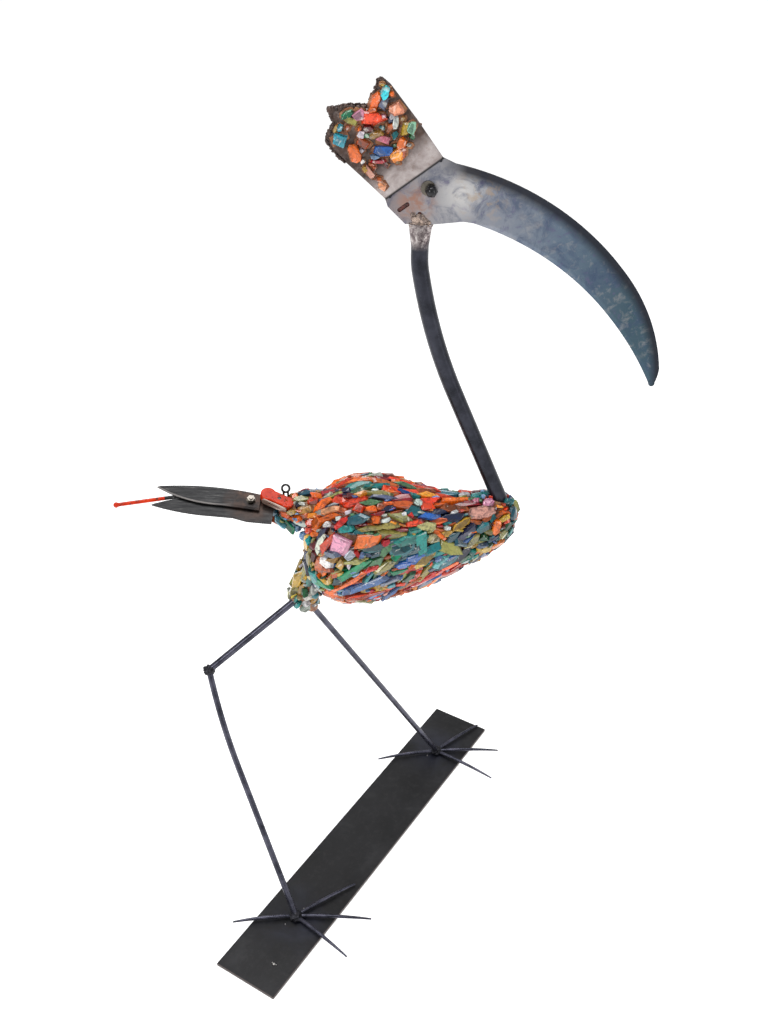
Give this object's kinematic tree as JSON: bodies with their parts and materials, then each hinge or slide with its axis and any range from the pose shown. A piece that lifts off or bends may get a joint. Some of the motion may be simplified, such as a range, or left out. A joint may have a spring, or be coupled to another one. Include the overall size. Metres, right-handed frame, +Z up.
{
  "type": "standing bird sculpture",
  "caption": "Long-legged bird sculpture welded from old garden tools: sickle beak, grass-shear tail and a glass mosaic body, standing on a steel strip.",
  "frame": {"origin": "centre of the base plate's underside, on the floor", "axes": "+X is the way the bird faces, +Z is up, and the bird's plane of symmetry is parallel to XZ at y = 16.5 mm"},
  "size_m": [0.6996, 0.598, 1.17],
  "materials": {
    "base_steel": "dull, mill scale",
    "braze": "brazed",
    "bright_steel": "bright, worn",
    "dark_steel": "gloss black",
    "glass_amber": "broken glass",
    "glass_bead": "polished glass",
    "glass_blue": "broken glass",
    "glass_clear": "broken glass",
    "glass_green": "broken glass",
    "glass_orange": "broken glass",
    "glass_pink": "broken glass",
    "glass_red": "broken glass",
    "glass_teal": "broken glass",
    "inner_steel": "plain",
    "neck_steel": "dark, waxed",
    "red_paint": "gloss, chipped",
    "resin": "amber resin",
    "rod_steel": "dark, waxed",
    "rusty_sheet": "rusted, worn",
    "shear_steel": "dark, scratched",
    "tempered_steel": "heat tinted",
    "weld_metal": "rough weld bead"
  },
  "bodies": {
    "bird": {"base_plate": "base_steel", "body_shell_far": "inner_steel", "body_shell_near": "inner_steel", "crest_sleeve": "rusty_sheet", "crest_tack_welds": "weld_metal", "eye_dome_nut": "dark_steel", "eye_rear_nut": "bright_steel", "eye_stud": "bright_steel", "eye_washer": "bright_steel", "glass_beads": "glass_bead", "glass_body_amber": "glass_amber", "glass_body_blue": "glass_blue", "glass_body_clear": "glass_clear", "glass_body_green": "glass_green", "glass_body_orange": "glass_orange", "glass_body_pink": "glass_pink", "glass_body_red": "glass_red", "glass_body_teal": "glass_teal", "glass_crest_clear": "glass_clear", "glass_crest_cool": "glass_teal", "glass_crest_warm": "glass_orange", "hip_plate": "inner_steel", "left_ankle_weld": "weld_metal", "left_back_toe": "rod_steel", "left_inner_toe": "rod_steel", "left_leg_rod": "rod_steel", "left_middle_toe": "rod_steel", "left_outer_toe": "rod_steel", "neck_braze": "braze", "neck_tube": "neck_steel", "resin_bed": "resin", "resin_hip_collar": "resin", "resin_tail_collar": "resin", "right_ankle_weld": "weld_metal", "right_back_toe": "rod_steel", "right_inner_toe": "rod_steel", "right_knee_weld": "weld_metal", "right_middle_toe": "rod_steel", "right_outer_toe": "rod_steel", "right_shank_rod": "rod_steel", "right_thigh_rod": "rod_steel", "sickle_beak": "tempered_steel", "spine_rod": "inner_steel", "tail_lever_rivet": "dark_steel", "tail_lower_blade": "shear_steel", "tail_pivot_bolt": "bright_steel", "tail_pivot_nut": "bright_steel", "tail_pivot_spacer": "bright_steel", "tail_pivot_washer": "bright_steel", "tail_red_lever": "red_paint", "tail_red_tip": "red_paint", "tail_rod": "inner_steel", "tail_slotted_plate": "bright_steel", "tail_spring_coil": "shear_steel", "tail_wire": "shear_steel", "tail_wire_weld": "weld_metal"},
    "upper_blade": {"tail_upper_blade": "shear_steel"}
  },
  "joints": [
    {"name": "tail_blade_hinge", "type": "hinge", "parent": "bird", "child": "upper_blade", "pos_m": [-0.157, 0.013, 0.6285], "axis": [-0.0501, 0.292, -0.9551], "range_deg": [-10, 22]}
  ]
}
